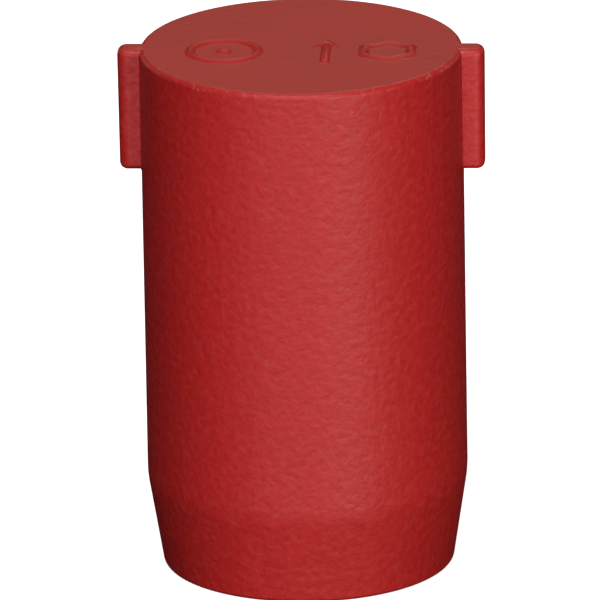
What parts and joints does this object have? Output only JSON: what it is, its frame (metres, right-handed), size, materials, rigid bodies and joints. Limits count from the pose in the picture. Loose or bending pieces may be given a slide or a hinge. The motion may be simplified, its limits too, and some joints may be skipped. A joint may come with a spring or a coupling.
{
  "type": "blanking plug",
  "caption": "Cup-shaped moulded plastic blanking plug: straight barrel, tapered lead-in at the open end, closed head, and small side lugs that stop it at the edge of the hole.",
  "frame": {"origin": "centre of the open rim's resting plane, on the barrel's axis", "axes": "+Z along the barrel's axis, from the open tapered end to the closed head; X through the stop lugs"},
  "size_m": [0.0204, 0.018, 0.0302],
  "materials": {
    "red_polyethylene": "satin"
  },
  "bodies": {
    "root": {"plug_body": "red_polyethylene"}
  },
  "joints": []
}
